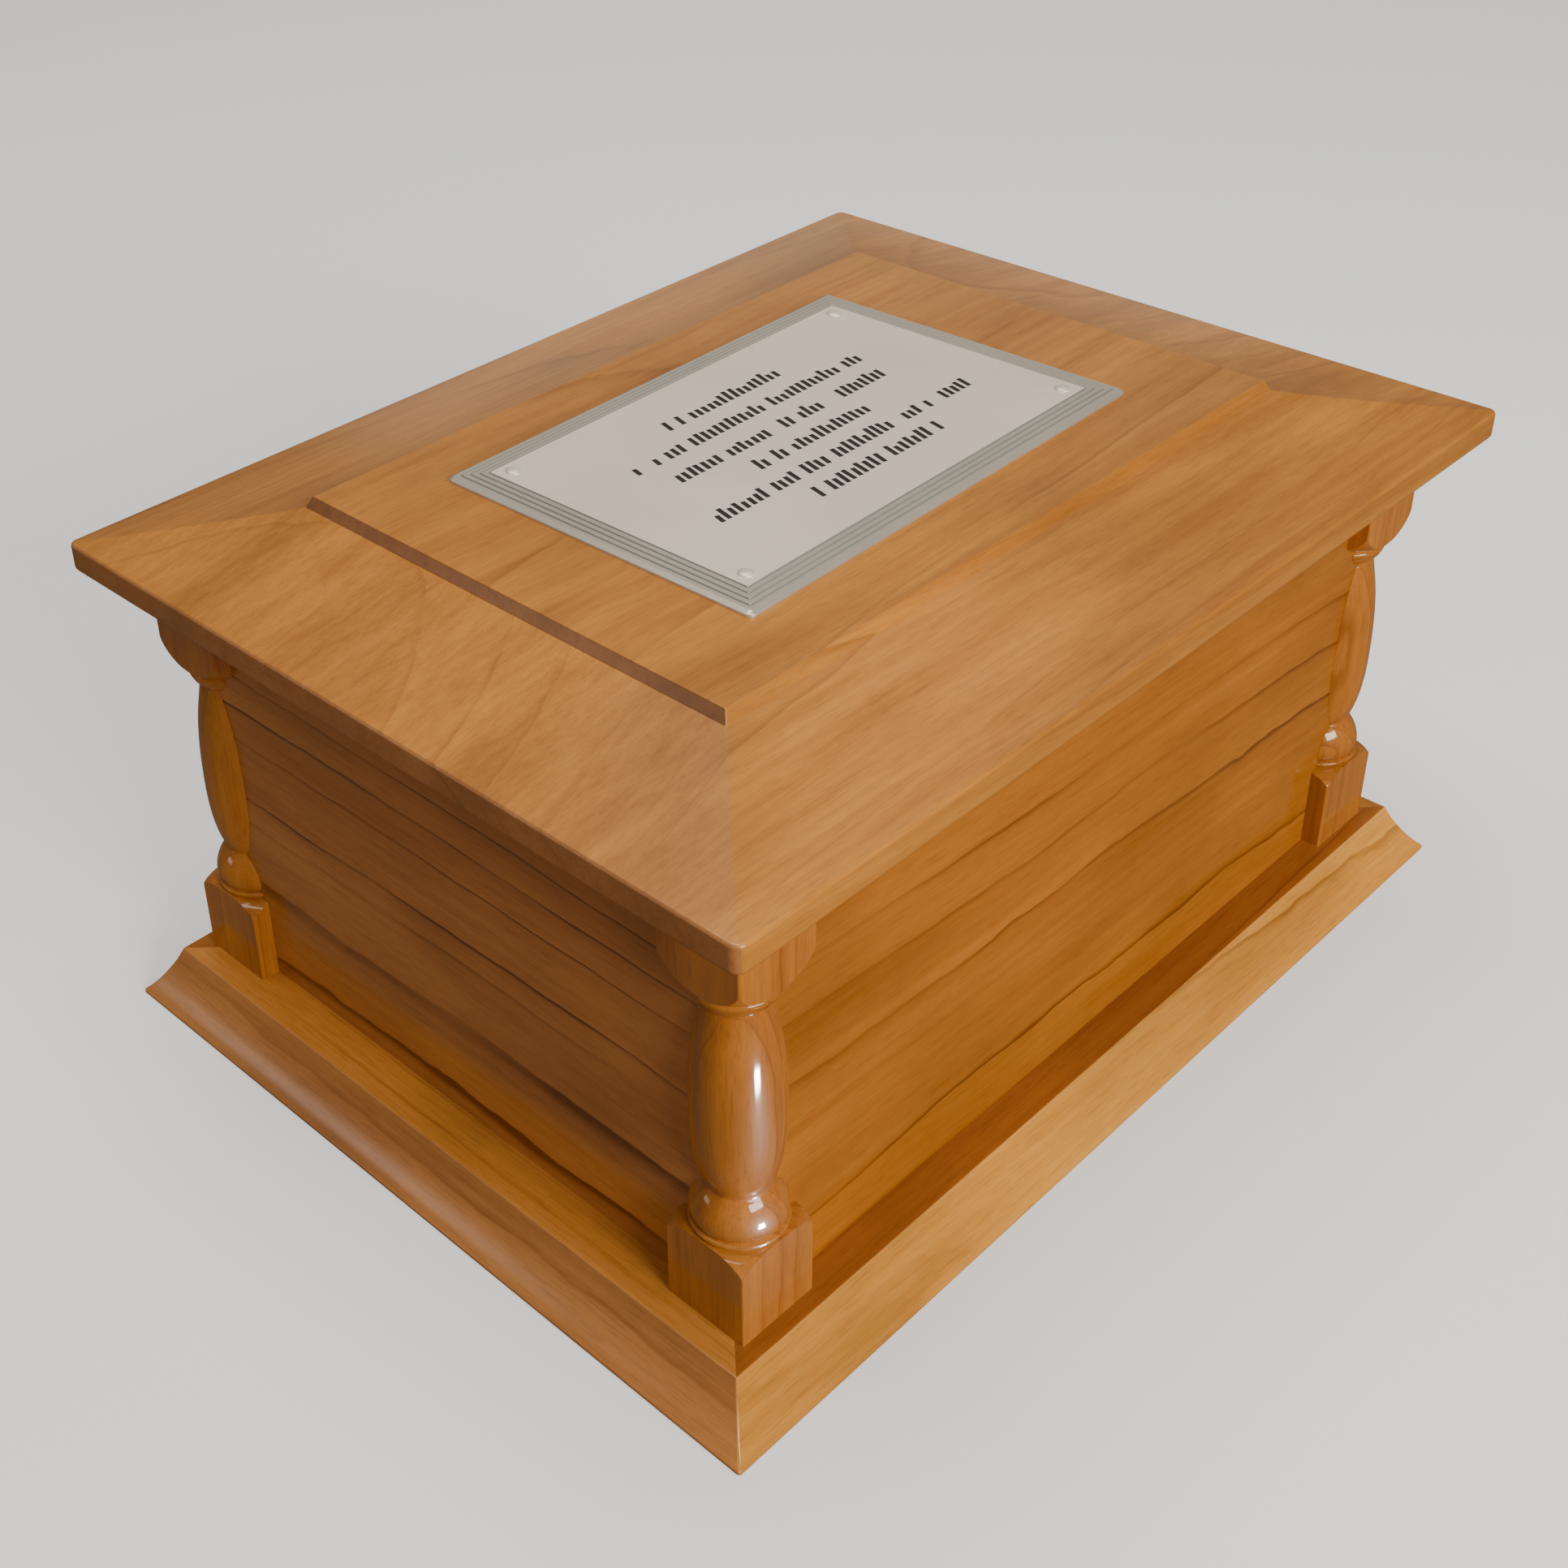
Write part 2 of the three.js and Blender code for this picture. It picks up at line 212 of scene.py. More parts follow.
# Outlines
def fillet(points, steps=4):
    """Rounds each (run, height, radius) corner of an open outline, and gives plain (run, height) pairs."""
    rounded = [Vector(points[0][:2])]
    for before, corner, after in zip(points, points[1:], points[2:]):
        here = Vector(corner[:2])
        radius = corner[2]
        back = (Vector(before[:2]) - here).normalized()
        ahead = (Vector(after[:2]) - here).normalized()
        half_turn = (math.pi - back.angle(ahead)) / 2
        if radius == 0 or half_turn < 1e-4:
            rounded.append(here)
            continue
        reach = radius * math.tan(half_turn)
        start = here + back * reach
        end = here + ahead * reach
        centre = here + (back + ahead).normalized() * radius / math.cos(half_turn)
        for step in range(steps + 1):
            toward = (start - centre).lerp(end - centre, step / steps)
            rounded.append(centre + toward.normalized() * radius)
    rounded.append(Vector(points[-1][:2]))
    return [(point.x, point.y) for point in rounded]


def hollow_slope(start, end, hollow, steps):
    """Points of a slope that sags by hollow in its middle, without its two ends."""
    points = []
    for step in range(1, steps):
        t = step / steps
        run = start[0] + (end[0] - start[0]) * t
        height = start[1] + (end[1] - start[1]) * t - 4 * hollow * t * (1 - t)
        points.append((run, height, 0))
    return points


def bezier(a, b, c, d, steps):
    """Points of a cubic curve after its start, up to its end."""
    points = []
    for step in range(1, steps + 1):
        t = step / steps
        u = 1 - t
        weights = (u ** 3, 3 * u * u * t, 3 * u * t * t, t ** 3)
        points.append(tuple(sum(w * p[axis] for w, p in zip(weights, (a, b, c, d))) for axis in (0, 1)))
    return points


def rounded_loop(half_x, half_y, radius, z, steps=6):
    """One closed ring of points round a rectangle with round corners."""
    points = []
    for quarter, (sx, sy) in enumerate(((1, 1), (-1, 1), (-1, -1), (1, -1))):
        for step in range(steps + 1):
            turn = math.pi / 2 * (quarter + step / steps)
            x = sx * (half_x - radius) + radius * math.cos(turn)
            y = sy * (half_y - radius) + radius * math.sin(turn)
            points.append((x, y, z))
    return points


# Pieces
def new_object(name, data):
    """An object at the origin, placed in the scene."""
    thing = bpy.data.objects.new(name, data)
    bpy.context.collection.objects.link(thing)
    return thing


def loft(name, rings, smooth_angle=35):
    """A closed solid through rings of equal count, listed from the bottom up and counter-clockwise."""
    count = len(rings[0])
    points = [point for ring in rings for point in ring]
    faces = [tuple(reversed(range(count)))]
    for level in range(len(rings) - 1):
        for side in range(count):
            a = level * count + side
            b = level * count + (side + 1) % count
            faces.append((a, b, b + count, a + count))
    top = (len(rings) - 1) * count
    faces.append(tuple(range(top, top + count)))
    mesh = bpy.data.meshes.new(name)
    mesh.from_pydata(points, [], faces)
    mesh.validate()
    mesh.polygons.foreach_set("use_smooth", [True] * len(mesh.polygons))
    mesh.set_sharp_from_angle(angle=math.radians(smooth_angle))
    return new_object(name, mesh)


def plain_mesh(thing):
    """The object's shape with its modifiers applied, as a new mesh."""
    depsgraph = bpy.context.evaluated_depsgraph_get()
    return bpy.data.meshes.new_from_object(thing.evaluated_get(depsgraph))


def even_shading(piece):
    """Flat faces stay flat to the eye where they meet small rounded edges."""
    weighted = piece.modifiers.new("even shading", "WEIGHTED_NORMAL")
    weighted.keep_sharp = True
    weighted.weight = 50


def finish(piece, node, *materials):
    """Gives a piece its materials and its place in the frame, where it stands for a CAD node."""
    for material in materials:
        piece.data.materials.append(material)
    even_shading(piece)
    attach(piece, "root")
    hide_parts(node)


# Node helpers
def add_node(tree, kind, **settings):
    node = tree.nodes.new(kind)
    for name, value in settings.items():
        setattr(node, name, value)
    return node


def join(tree, source, target):
    tree.links.new(source, target)


def feed(tree, value, target):
    """Gives an input a plain value, or joins another node's output to it."""
    if isinstance(value, bpy.types.NodeSocket):
        join(tree, value, target)
    else:
        target.default_value = value


def maths(tree, operation, first, second=0.0, clamp=False):
    """A sum on numbers. First and second are sockets or plain values."""
    node = add_node(tree, "ShaderNodeMath", operation=operation, use_clamp=clamp)
    feed(tree, first, node.inputs[0])
    feed(tree, second, node.inputs[1])
    return node.outputs[0]


def vector_maths(tree, operation, first, second):
    """A sum on vectors. The second is a vector, or the factor where the first is scaled."""
    node = add_node(tree, "ShaderNodeVectorMath", operation=operation)
    feed(tree, first, node.inputs[0])
    feed(tree, second, node.inputs["Scale"] if operation == "SCALE" else node.inputs[1])
    return node.outputs["Vector"]


def noise(tree, vector, stretch, detail=2.0, roughness=0.5):
    """Soft noise of no set direction, on a vector that is first stretched along its axes."""
    node = add_node(tree, "ShaderNodeTexNoise")
    join(tree, vector_maths(tree, "MULTIPLY", vector, stretch), node.inputs["Vector"])
    node.inputs["Scale"].default_value = 1.0
    node.inputs["Detail"].default_value = detail
    node.inputs["Roughness"].default_value = roughness
    return node.outputs


def remap(tree, value, low, high, to_low=0.0, to_high=1.0):
    """A smooth step from to_low to to_high, while the value goes from low to high."""
    node = add_node(tree, "ShaderNodeMapRange", interpolation_type="SMOOTHSTEP")
    join(tree, value, node.inputs["Value"])
    feed(tree, low, node.inputs["From Min"])
    feed(tree, high, node.inputs["From Max"])
    feed(tree, to_low, node.inputs["To Min"])
    feed(tree, to_high, node.inputs["To Max"])
    return node.outputs["Result"]


def mix_colour(tree, blend, factor, first, second):
    """Mixes two colours. Factor, first and second are sockets or plain values."""
    node = add_node(tree, "ShaderNodeMix", data_type="RGBA", blend_type=blend)
    feed(tree, factor, node.inputs[0])
    feed(tree, first, node.inputs[6])
    feed(tree, second, node.inputs[7])
    return node.outputs[2]


def new_group(name, inputs, outputs):
    """A shader node group with named sockets. Inputs are (name, kind, default)."""
    tree = bpy.data.node_groups.new(name, "ShaderNodeTree")
    for label, kind, default in inputs:
        socket = tree.interface.new_socket(label, in_out="INPUT", socket_type=kind)
        if default is not None:
            socket.default_value = default
    for label, kind in outputs:
        tree.interface.new_socket(label, in_out="OUTPUT", socket_type=kind)
    entry = tree.nodes.new("NodeGroupInput")
    leave = tree.nodes.new("NodeGroupOutput")
    return tree, entry.outputs, leave.inputs


def wood_figure_group():
    """Growth rings round a pith along X, fine fibres, flecks and pores along X, and slow changes of tone."""
    tree, given, result = new_group(
        "Wood figure",
        [
            ("Board", "NodeSocketVector", None),
            ("Ring Spacing", "NodeSocketFloat", 9 * MM),
            ("Ring Strength", "NodeSocketFloat", 0.8),
            ("Wander", "NodeSocketFloat", 6 * MM),
            ("Pores", "NodeSocketFloat", 0.15),
            ("Light Wood", "NodeSocketColor", (0.5, 0.23, 0.06, 1)),
            ("Dark Wood", "NodeSocketColor", (0.36, 0.13, 0.025, 1)),
            ("Ring Colour", "NodeSocketColor", (0.2, 0.06, 0.01, 1)),
        ],
        [
            ("Color", "NodeSocketColor"),
            ("Height", "NodeSocketFloat"),
            ("Roughness", "NodeSocketFloat"),
        ],
    )
    board = given["Board"]

    # The board's own coordinates wander a little, so that the rings wave
    slow = noise(tree, board, (7, 16, 16))["Color"]
    quick = noise(tree, board, (55, 150, 150))["Color"]
    centred = vector_maths(tree, "SUBTRACT", slow, (0.5, 0.5, 0.5))
    wander = vector_maths(tree, "SCALE", centred, given["Wander"])
    tremble = vector_maths(tree, "SCALE", quick, RING_TREMBLE)
    waved = vector_maths(tree, "ADD", vector_maths(tree, "ADD", board, wander), tremble)
    from_pith = add_node(tree, "ShaderNodeVectorMath", operation="LENGTH")
    join(tree, vector_maths(tree, "MULTIPLY", waved, (0, 1, 1)), from_pith.inputs[0])

    # Rings of uneven width: each darkens slowly, ends at a thin line, and no two are equally dark
    even = maths(tree, "DIVIDE", from_pith.outputs["Value"], given["Ring Spacing"])
    uneven = add_node(tree, "ShaderNodeTexNoise", noise_dimensions="1D")
    join(tree, even, uneven.inputs["W"])
    uneven.inputs["Scale"].default_value = RING_DRIFT_PACE
    count = maths(tree, "ADD", even, maths(tree, "MULTIPLY", uneven.outputs["Fac"], RING_DRIFT))
    ring = maths(tree, "FLOOR", count)
    within = maths(tree, "FRACT", count)
    fall = remap(tree, within, 0.95, 1.0, 1.0, 0.0)
    thin = maths(tree, "POWER", remap(tree, within, 0.72, 0.96), 2.0)
    slow_dark = maths(tree, "MULTIPLY", remap(tree, within, 0.1, 0.95), 0.22)
    late_wood = maths(tree, "MULTIPLY", maths(tree, "ADD", thin, slow_dark), fall)
    vary = add_node(tree, "ShaderNodeTexWhiteNoise", noise_dimensions="1D")
    join(tree, ring, vary.inputs["W"])
    darkness = remap(tree, vary.outputs["Value"], 0.0, 0.9, 0.3, 1.0)
    patchy = remap(tree, noise(tree, board, (12, 50, 50))["Fac"], 0.34, 0.6, 0.3, 1.0)
    lines = maths(tree, "MULTIPLY", maths(tree, "MULTIPLY", late_wood, darkness), patchy)
    lines = maths(tree, "MULTIPLY", lines, given["Ring Strength"], clamp=True)

    # Fibres, broader bands and a soft darker blush, on the coordinates that wave
    fibres = noise(tree, waved, (10, 460, 460), detail=4.0, roughness=0.6)["Fac"]
    fibre_mask = remap(tree, fibres, 0.3, 0.72)
    band_mask = remap(tree, noise(tree, waved, (6, 130, 130), detail=3.0)["Fac"], 0.34, 0.66)
    fibre_tone = maths(tree, "MULTIPLY", fibre_mask, 0.55)
    tone = maths(tree, "ADD", fibre_tone, maths(tree, "MULTIPLY", band_mask, 0.45))
    body = mix_colour(tree, "MIX", tone, given["Light Wood"], given["Dark Wood"])
    blush = remap(tree, noise(tree, waved, (9, 26, 26))["Fac"], 0.5, 0.72, 0.0, 0.26)
    lines = maths(tree, "ADD", lines, blush, clamp=True)
    body = mix_colour(tree, "MIX", lines, body, given["Ring Colour"])

    # Broad patches, small flecks and pores only lighten or darken
    patches = noise(tree, board, (16, 34, 34))["Fac"]
    flecks = noise(tree, board, (260, 560, 560), detail=3.0, roughness=0.65)["Fac"]
    pores = noise(tree, board, (120, 2400, 2400), detail=1.0)["Fac"]
    patch_shade = remap(tree, patches, 0.3, 0.7, 0.86, 1.1)
    fleck_shade = remap(tree, flecks, 0.25, 0.75, 0.965, 1.035)
    pore_shade = remap(tree, pores, 0.3, 0.5, maths(tree, "SUBTRACT", 1.0, given["Pores"]))
    shade = maths(tree, "MULTIPLY", maths(tree, "MULTIPLY", patch_shade, fleck_shade), pore_shade)
    shading = add_node(tree, "ShaderNodeCombineColor")
    for channel in shading.inputs:
        join(tree, shade, channel)
    join(tree, mix_colour(tree, "MULTIPLY", 1.0, body, shading.outputs[0]), result["Color"])

    # The varnish sinks a little along the fibres and more along the ring lines
    fibre_dip = maths(tree, "MULTIPLY", fibre_mask, 0.5)
    line_dip = maths(tree, "MULTIPLY", lines, 0.4)
    height = maths(tree, "SUBTRACT", maths(tree, "SUBTRACT", 1.0, fibre_dip), line_dip)
    join(tree, height, result["Height"])
    patch_rough = remap(tree, patches, 0.3, 0.7, 0.4, 0.5)
    rough = maths(tree, "ADD", patch_rough, maths(tree, "MULTIPLY", lines, 0.08))
    join(tree, rough, result["Roughness"])
    return tree


WOOD_FIGURE = wood_figure_group()


def new_material(name, **values):
    """A material, its node tree and its Principled shader, which takes the given values."""
    material = bpy.data.materials.new(name)
    material.use_nodes = True
    shader = material.node_tree.nodes["Principled BSDF"]
    for label, value in values.items():
        shader.inputs[label.replace("_", " ")].default_value = value
    return material, material.node_tree, shader


def wood(name, grain, pith, along, spacing, strength, tilt=0.0, wander=7.0, pores=0.15,
         light=(0.50, 0.185, 0.022), dark=(0.40, 0.130, 0.012), coat_roughness=0.14, specular=0.0):
    """Varnished wood. Grain is X, Y or Z, and pith is the place of the heart line across the grain.

    Along is the place of the figure on that line. Lengths are in millimetres. Tilt (degrees) is how far
    the heart line leans out of the board, which draws the rings out into arches.
    """
    material, tree, shader = new_material(
        name, Specular_IOR_Level=specular, Coat_Weight=1.0, Coat_Roughness=coat_roughness, Coat_IOR=1.5)
    place = add_node(tree, "ShaderNodeTexCoord")
    centre = add_node(tree, "ShaderNodeMapping", vector_type="TEXTURE")
    join(tree, place.outputs["Object"], centre.inputs["Vector"])
    lean = math.radians(tilt)
    if grain == "X":
        centre.inputs["Location"].default_value = (along * MM, pith[0] * MM, pith[1] * MM)
        centre.inputs["Rotation"].default_value = (0, lean, 0)
    elif grain == "Y":
        centre.inputs["Location"].default_value = (pith[0] * MM, along * MM, pith[1] * MM)
        centre.inputs["Rotation"].default_value = (0, lean, math.pi / 2)
    else:
        centre.inputs["Location"].default_value = (pith[0] * MM, pith[1] * MM, along * MM)
        centre.inputs["Rotation"].default_value = (0, lean - math.pi / 2, 0)
    figure = add_node(tree, "ShaderNodeGroup", node_tree=WOOD_FIGURE)
    join(tree, centre.outputs["Vector"], figure.inputs["Board"])
    figure.inputs["Ring Spacing"].default_value = spacing * MM
    figure.inputs["Ring Strength"].default_value = strength
    figure.inputs["Wander"].default_value = wander * MM
    figure.inputs["Pores"].default_value = pores
    figure.inputs["Light Wood"].default_value = (*light, 1)
    figure.inputs["Dark Wood"].default_value = (*dark, 1)
    figure.inputs["Ring Colour"].default_value = RING_COLOUR
    join(tree, figure.outputs["Color"], shader.inputs["Base Color"])
    join(tree, figure.outputs["Roughness"], shader.inputs["Roughness"])
    bump = add_node(tree, "ShaderNodeBump")
    bump.inputs["Strength"].default_value = GRAIN_BUMP
    bump.inputs["Distance"].default_value = GRAIN_RELIEF
    join(tree, figure.outputs["Height"], bump.inputs["Height"])
    join(tree, bump.outputs["Normal"], shader.inputs["Normal"])
    return material


def metal(name, colour, roughness, metallic, brushing=1.0):
    """Satin metal with a fine brushed grain and soft cloudy changes."""
    material, tree, shader = new_material(name, Metallic=metallic)
    place = add_node(tree, "ShaderNodeTexCoord").outputs["Object"]
    brushed = noise(tree, place, (40, 4200, 4200), detail=3.0)["Fac"]
    clouds = noise(tree, place, (22, 22, 22))["Fac"]
    dull = (*[channel * 0.95 for channel in colour], 1)
    bright = (*[channel * 1.04 for channel in colour], 1)
    tint = mix_colour(tree, "MIX", remap(tree, clouds, 0.3, 0.7), dull, bright)
    join(tree, tint, shader.inputs["Base Color"])
    smooth_end = roughness - 0.05 * brushing
    rough_end = roughness + 0.06 * brushing
    join(tree, remap(tree, brushed, 0.25, 0.75, smooth_end, rough_end), shader.inputs["Roughness"])
    bump = add_node(tree, "ShaderNodeBump")
    bump.inputs["Strength"].default_value = BRUSHING_BUMP * brushing
    bump.inputs["Distance"].default_value = BRUSHING_RELIEF
    join(tree, brushed, bump.inputs["Height"])
    join(tree, bump.outputs["Normal"], shader.inputs["Normal"])
    return material


# Finishes
BASE_FRONT = dict(grain="X", pith=(-30, -50), along=40, tilt=1.5, spacing=7.0, strength=0.4, wander=4)
BASE_END = dict(grain="Y", pith=(60, -30), along=-20, tilt=1.0, spacing=6.0, strength=0.35, wander=3)
# The base's woods are lit and shaded copies of one wood, with painted light and shade, in this order: front
# slope (painted light), end slope (painted shade), front ledge (painted shade), end ledge (painted light)
BASE_LIT_AND_SHADED_WOODS = (
    wood("base front slope wood, painted light", **BASE_FRONT, coat_roughness=0.1,
         light=(0.84, 0.39, 0.072), dark=(0.68, 0.285, 0.043)),
    wood("base end slope wood, painted shade", **BASE_END, coat_roughness=0.2,
         light=(0.60, 0.255, 0.075), dark=(0.47, 0.185, 0.05)),
    wood("base front ledge wood, painted shade", **BASE_FRONT, coat_roughness=0.1,
         light=(0.44, 0.155, 0.03), dark=(0.34, 0.105, 0.017)),
    wood("base end ledge wood, painted light", **BASE_END, coat_roughness=0.12,
         light=(0.66, 0.28, 0.06), dark=(0.53, 0.205, 0.04)),
)
LID_BOARD = dict(grain="X", pith=(40, 20), along=-15, tilt=3.0, spacing=8.0, wander=9)
LID_WOODS = (
    wood("lid wood", **LID_BOARD, strength=0.32, pores=0.14, coat_roughness=0.26, specular=0.2,
         light=(0.59, 0.24, 0.036), dark=(0.41, 0.145, 0.017)),
    wood("lid end grain", **LID_BOARD, strength=0.36, coat_roughness=0.3,
         light=(0.44, 0.19, 0.066), dark=(0.365, 0.142, 0.046)),
    # A darker copy of the end grain for the shoulder: painted shade
    wood("lid shoulder end grain, painted shade", **LID_BOARD, strength=0.36, coat_roughness=0.3,
         light=(0.28, 0.11, 0.024), dark=(0.21, 0.075, 0.014)),
)
WALL_WOODS = {
    "front_wall": wood("front wall wood", "X", (-34, 42), along=60, tilt=2.5, spacing=8.5, strength=0.8),
    "back_wall": wood("back wall wood", "X", (20, 70), along=-80, tilt=-2, spacing=10.0, strength=0.7),
    # The left wall's wood is lighter than the other walls': painted light
    "left_wall": wood("left wall wood, painted light", "Y", (-40, 5), along=30, spacing=7.5, strength=1.3, wander=5,
                      light=(0.62, 0.255, 0.068), dark=(0.51, 0.185, 0.045)),
    "right_wall": wood("right wall wood", "Y", (50, 30), along=-30, tilt=2, spacing=9.0, strength=0.75),
}
PLAQUE_METALS = (
    metal("plaque face", (0.86, 0.80, 0.70), 0.5, 0.4),
    metal("plaque rim", (0.585, 0.55, 0.485), 0.4, 0.6, brushing=0.3),
    # Darker metal for the border's grooves: painted shade
    metal("plaque border groove, painted shade", (0.36, 0.36, 0.33), 0.5, 0.6, brushing=0.3),
)
PIN_METAL = metal("pin head", (0.80, 0.75, 0.67), 0.48, 0.5)
STROKE_PAINT = new_material("dark stroke filling", Base_Color=(0.012, 0.01, 0.009, 1), Roughness=0.55)[0]


# Base
def make_base():
    """One board with a flared edge. Its faces take lit and shaded copies of its wood, by front or end and
    slope or ledge: painted light and shade.
    """
    half_x, half_y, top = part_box("base_board")[1]
    full_run = BASE_FLARE_RUN + BASE_SHOULDER_RUN
    lip = (0, BASE_LIP, BASE_EASE)
    foot = (BASE_FLARE_RUN, top - BASE_SHOULDER_DROP, BASE_EASE)
    outline = fillet(
        [(full_run, 0, 0), (0, 0, BASE_EASE / 2), lip]
        + hollow_slope(lip, foot, BASE_FLARE_HOLLOW, BASE_FLARE_STEPS)
        + [foot, (full_run, top, BASE_EASE), (full_run + BASE_LEDGE, top, 0)]
    )
    rings = []
    for run, z in outline:
        corner = max(BASE_ARRIS, BASE_TIP_CORNER * (1 - run / BASE_FLARE_RUN))
        rings.append(rounded_loop(half_x - run, half_y - run, corner, z))
    base = loft("base_board_finished", rings)
    # Each face gets its copy of the wood, with painted light and shade
    for face in base.data.polygons:
        at_end = abs(face.center.x) - half_x > abs(face.center.y) - half_y
        on_ledge = face.normal.z > 0.9
        face.material_index = 2 * on_ledge + at_end
    finish(base, "base_board", *BASE_LIT_AND_SHADED_WOODS)


# Lid
def make_lid():
    """One board, from the step that drops into the box to the raised field."""
    low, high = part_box("lid")
    half_x, half_y, field = high
    underside = low[2] + LID_STEP_DEPTH
    edge_top = underside + LID_EDGE
    border_foot = (0, edge_top, LID_UPPER_EASE)
    shoulder_foot = (LID_BORDER, edge_top + LID_BORDER_RISE, LID_SHOULDER_EASE)
    inner = LID_BORDER + LID_SHOULDER_RUN
    outline = fillet(
        [(LID_BORDER / 2, underside, 0), (0, underside, LID_LOWER_EASE), border_foot]
        + hollow_slope(border_foot, shoulder_foot, LID_BORDER_HOLLOW, LID_BORDER_STEPS)
        + [shoulder_foot, (inner, field, LID_SHOULDER_EASE), (inner + LID_LOWER_EASE, field, 0)]
    )
    step_x = LID_STEP_LENGTH / 2
    step_y = LID_STEP_WIDTH / 2
    rings = [rounded_loop(step_x, step_y, LID_ARRIS, z) for z in (low[2], underside)]
    for run, z in outline:
        fade = 0 if z < edge_top - LID_UPPER_EASE else min(1, run / LID_CORNER_FADE)
        corner = LID_CORNER + (LID_ARRIS - LID_CORNER) * fade
        rings.append(rounded_loop(half_x - run, half_y - run, corner, z))
    lid = loft("lid_finished", rings)
    for face in lid.data.polygons:
        # On the shoulder, faces across X take the darker end grain: painted shade
        if abs(face.normal.x) > 0.5:
            face.material_index = LID_SHADED_SHOULDER_SLOT if face.center.z > edge_top else LID_END_SLOT
    finish(lid, "lid", *LID_WOODS)


# Columns
def column_outline(height):
    """Radius and height of the turned profile, in metres, from the bottom of the stock to its top."""
    points = [(BLOCK, 0), PLINTH_TOP]
    for first_guide, second_guide, end, steps in COLUMN_CURVES:
        points += bezier(points[-1], first_guide, second_guide, end, steps)
    points += [(BLOCK, height / MM)]
    return [(radius * MM, z * MM) for radius, z in points]


def stock_radius(angle, face, arris):
    """Distance from the axis to the square stock with eased arrises, at an angle from the X axis."""
    turn = abs((angle + math.pi / 4) % (math.pi / 2) - math.pi / 4)
    flat = face - arris
    if math.tan(turn) * face <= flat:
        return face / math.cos(turn)
    along = flat * (math.cos(turn) + math.sin(turn))
    return along + math.sqrt(along ** 2 - 2 * flat ** 2 + arris ** 2)


def column_section(radius, face, arris, wall, near):
    """Plan of a column at one height: round or square outside, with a notch for the box corner.

    The outer corner points to -X and -Y. Steps fall on the lines where round meets flat, so these stay crisp.
    """
    arris_start = math.atan2(face - arris, face)
    meeting = min(math.acos(min(face / radius, 1)), arris_start)
    if radius > math.hypot(face, wall):
        start = math.atan2(wall, face)
    else:
        start = math.asin(wall / radius)
    stops = (start, max(start, meeting), math.pi / 2 - meeting, math.pi / 2 + meeting, 3 * math.pi / 4)
    half = []
    for (low, high), steps in zip(zip(stops, stops[1:]), (3, 14, 6, 12)):
        for step in range(steps):
            angle = -(low + (high - low) * step / steps)
            reach = min(radius, stock_radius(angle, face, arris))
            half.append((reach * math.cos(angle), reach * math.sin(angle)))
    corner = min(radius, stock_radius(-3 * math.pi / 4, face, arris))
    middle = (-corner * math.sqrt(0.5), -corner * math.sqrt(0.5))
    other_half = [(y, x) for x, y in reversed(half)]
    return half + [middle] + other_half + [(-wall, -near), (-near, -near), (-near, -wall)]


def make_column(name, turn, material):
    """Turned stock with a square block at each end, notched over the corner of the box."""
    low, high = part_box(name)
    face = (high[0] - low[0]) / 2
    centre = Vector(((low[0] + high[0]) / 2, (low[1] + high[1]) / 2, low[2]))
    wall = face - COLUMN_PROUD + COLUMN_FIT
    place = Matrix.Translation(centre) @ Matrix.Rotation(turn, 4, "Z")
    rings = []
    for radius, z in column_outline(high[2] - low[2]):
        section = column_section(radius, face, COLUMN_ARRIS, wall, COLUMN_FIT)
        rings.append([place @ Vector((x, y, z)) for x, y in reversed(section)])
    column = loft(name + "_turned", rings, smooth_angle=28)
    finish(column, name, material)


def make_columns():
    """Four columns alike, each turned so that its outer corner points away from the box."""
    names = ("front_left_column", "front_right_column", "back_right_column", "back_left_column")
    for number, name in enumerate(names):
        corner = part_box(name)[1]
        pith = (corner[0] / MM + 14 - 3 * number, corner[1] / MM + 9)
        material = wood(
            name.replace("_", " ") + " wood", "Z", pith, along=50 * number, spacing=3.8, strength=0.42,
            wander=4, light=(0.56, 0.21, 0.034), dark=(0.43, 0.14, 0.019), coat_roughness=0.08, specular=0.07)
        make_column(name, number * math.pi / 2, material)


# Plaque
def on_lid(point):
    """A place on the lid, from the same place in the plaque's own frame."""
    turned = Matrix.Rotation(PLAQUE_TURN, 4, "Z") @ Vector(point)
    return turned + PLAQUE_CENTRE


def plaque_outline():
    """Outline of the plate's edge, its bevel and its stepped border, as (run, height, ease)."""
    run = PLAQUE_BEVEL_RUN
    z = PLAQUE_EDGE + PLAQUE_BEVEL_RISE
    outline = [(run, 0, 0), (0, 0, 0), (0, PLAQUE_EDGE, PLAQUE_EASE), (run, z, PLAQUE_EASE)]
    for band in range(PLAQUE_BANDS):
        run += PLAQUE_BAND
        outline.append((run, z, 0))
        outline.append((run + PLAQUE_GROOVE / 2, z - PLAQUE_GROOVE_DEPTH, 0))
        run += PLAQUE_GROOVE
        z += PLAQUE_BAND_RISE
        outline.append((run, z, 0))
    outline.append((run + PLAQUE_BAND, z, 0))
    return outline


